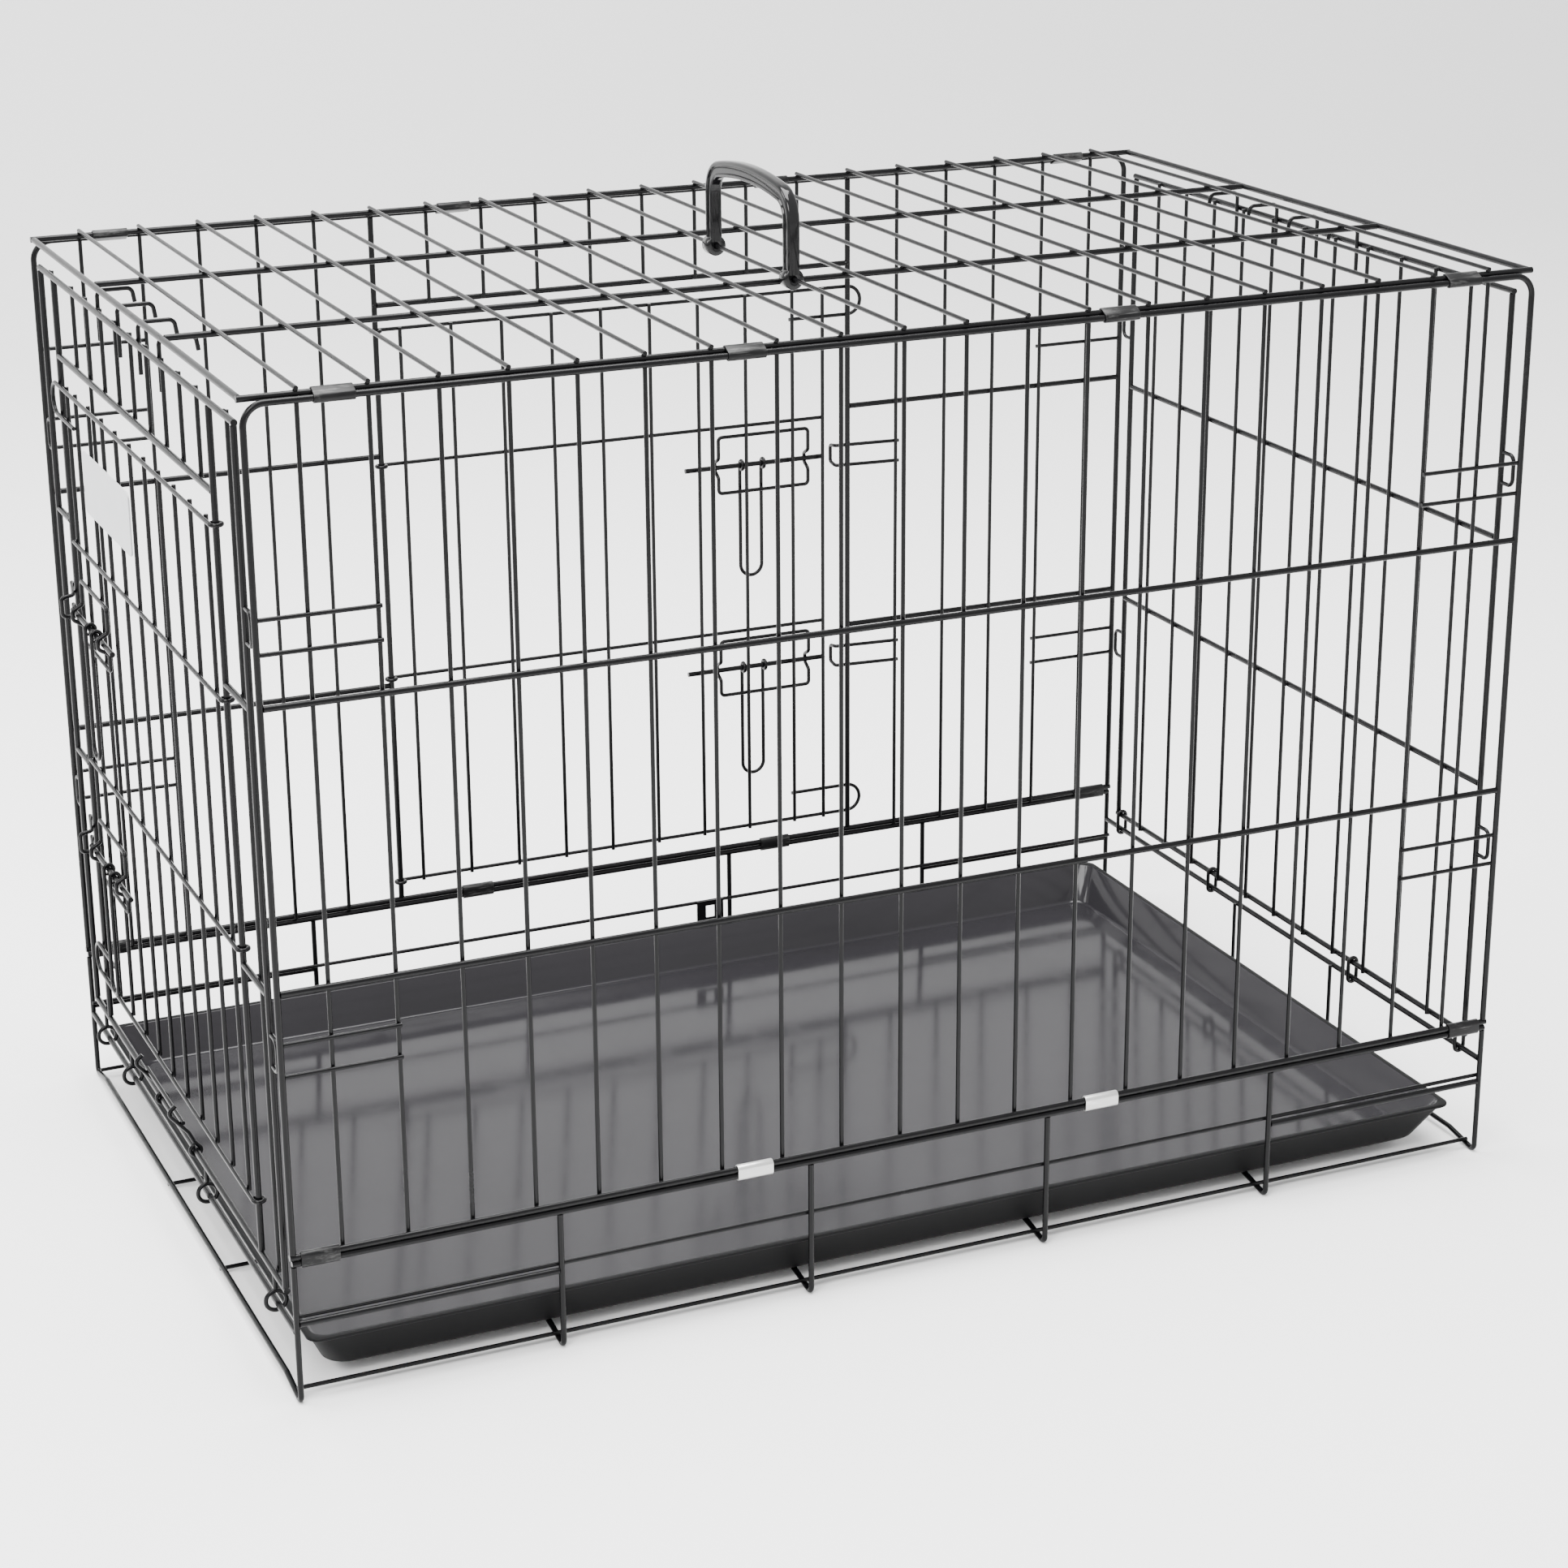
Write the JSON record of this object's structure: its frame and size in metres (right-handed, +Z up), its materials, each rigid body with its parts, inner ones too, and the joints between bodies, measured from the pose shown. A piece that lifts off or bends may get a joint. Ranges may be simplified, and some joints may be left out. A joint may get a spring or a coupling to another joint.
{
  "type": "folding wire dog crate",
  "caption": "Folding wire crate for a dog: hinged wire panels, a side door and an end door with slide bolts, a pull-out floor tray and a carry handle.",
  "frame": {"origin": "on the floor, under the middle of the crate's outline", "axes": "+X along the length, from the end with a door to the plain end; +Y from the plain side to the side with the big door; +Z up"},
  "size_m": [0.9378, 0.5948, 0.7402],
  "materials": {
    "black_wire": "black baked coating over steel wire, semi-gloss",
    "clip_steel": "black coated sheet steel, worn bright at the folds",
    "tray_plastic": "black moulded pan with a soft sheen",
    "handle_plastic": "glossy black moulding",
    "plate_grey": "blank grey plate"
  },
  "bodies": {
    "frame": {"base_floor_wires": "black_wire", "base_posts": "black_wire", "base_feet": "black_wire", "base_side_rails": "black_wire", "left_hinge_wire": "black_wire", "right_hinge_wire": "black_wire", "right_end_props": "black_wire", "rear_catch": "black_wire", "front_panel": "black_wire", "rear_panel": "black_wire", "top_panel": "black_wire", "top_front_clips": "clip_steel", "top_rear_clips": "clip_steel", "base_front_clips": "clip_steel", "base_rear_clips": "clip_steel", "rear_door_keepers": "black_wire"},
    "left_end": {"left_end_panel": "black_wire", "left_end_rings": "black_wire", "left_end_hooks": "black_wire", "left_end_ears": "black_wire", "end_door_keepers": "black_wire"},
    "right_end": {"right_end_panel": "black_wire", "right_end_rings": "black_wire", "right_end_hooks": "black_wire", "right_end_ears": "black_wire"},
    "rear_door_leaf": {"rear_door": "black_wire", "rear_door_guides": "black_wire"},
    "end_door_leaf": {"end_door": "black_wire", "end_door_guides": "black_wire", "label_plate": "plate_grey"},
    "tray": {"tray": "tray_plastic"},
    "tray_stop": {"tray_stop": "black_wire"},
    "carry_handle": {"carry_handle": "handle_plastic"},
    "rear_upper_bolt": {"rear_upper_bolt": "black_wire"},
    "rear_upper_paddle": {"rear_upper_paddle": "black_wire"},
    "rear_lower_bolt": {"rear_lower_bolt": "black_wire"},
    "rear_lower_paddle": {"rear_lower_paddle": "black_wire"},
    "end_upper_bolt": {"end_upper_bolt": "black_wire"},
    "end_upper_paddle": {"end_upper_paddle": "black_wire"},
    "end_lower_bolt": {"end_lower_bolt": "black_wire"},
    "end_lower_paddle": {"end_lower_paddle": "black_wire"}
  },
  "joints": [
    {"name": "left_end_fold", "type": "hinge", "parent": "frame", "child": "left_end", "pos_m": [-0.45044, -0.0061, 0.052], "axis": [0, 1, 0], "range_deg": [0, 88]},
    {"name": "right_end_fold", "type": "hinge", "parent": "frame", "child": "right_end", "pos_m": [0.46355, -0.0061, 0.076], "axis": [0, 1, 0], "range_deg": [-88, 0]},
    {"name": "rear_door_swing", "type": "hinge", "parent": "frame", "child": "rear_door_leaf", "pos_m": [-0.19245, 0.2819, 0.35], "axis": [0, 0, 1], "range_deg": [0, 165]},
    {"name": "end_door_swing", "type": "hinge", "parent": "left_end", "child": "end_door_leaf", "pos_m": [-0.45044, -0.2141, 0.345], "axis": [0, 0, -1], "range_deg": [-165, 0]},
    {"name": "rear_upper_bolt_slide", "type": "slide", "parent": "rear_door_leaf", "child": "rear_upper_bolt", "axis": [1, 0, 0], "range_m": [0, 0.026]},
    {"name": "rear_upper_paddle_lift", "type": "hinge", "parent": "rear_upper_bolt", "child": "rear_upper_paddle", "pos_m": [0.12856, 0.2897, 0.436], "axis": [1, 0, 0], "range_deg": [0, 110]},
    {"name": "rear_lower_bolt_slide", "type": "slide", "parent": "rear_door_leaf", "child": "rear_lower_bolt", "axis": [1, 0, 0], "range_m": [0, 0.026]},
    {"name": "rear_lower_paddle_lift", "type": "hinge", "parent": "rear_lower_bolt", "child": "rear_lower_paddle", "pos_m": [0.12856, 0.2897, 0.262], "axis": [1, 0, 0], "range_deg": [0, 110]},
    {"name": "end_upper_bolt_slide", "type": "slide", "parent": "end_door_leaf", "child": "end_upper_bolt", "axis": [0, 1, 0], "range_m": [0, 0.026]},
    {"name": "end_upper_paddle_lift", "type": "hinge", "parent": "end_upper_bolt", "child": "end_upper_paddle", "pos_m": [-0.45825, 0.1379, 0.409], "axis": [0, 1, 0], "range_deg": [0, 110]},
    {"name": "end_lower_bolt_slide", "type": "slide", "parent": "end_door_leaf", "child": "end_lower_bolt", "axis": [0, 1, 0], "range_m": [0, 0.026]},
    {"name": "end_lower_paddle_lift", "type": "hinge", "parent": "end_lower_bolt", "child": "end_lower_paddle", "pos_m": [-0.45825, 0.1379, 0.223], "axis": [0, 1, 0], "range_deg": [0, 110]},
    {"name": "tray_slide", "type": "slide", "parent": "frame", "child": "tray", "axis": [-1, 0, 0], "range_m": [0, 0.86]},
    {"name": "tray_stop_swing", "type": "hinge", "parent": "left_end", "child": "tray_stop", "pos_m": [-0.45044, 0.0074, 0.073], "axis": [0, 1, 0], "range_deg": [-140, 0]},
    {"name": "handle_swing", "type": "hinge", "parent": "frame", "child": "carry_handle", "pos_m": [-0.01564, -0.0441, 0.67325], "axis": [0, 1, 0], "range_deg": [-75, 75]}
  ]
}
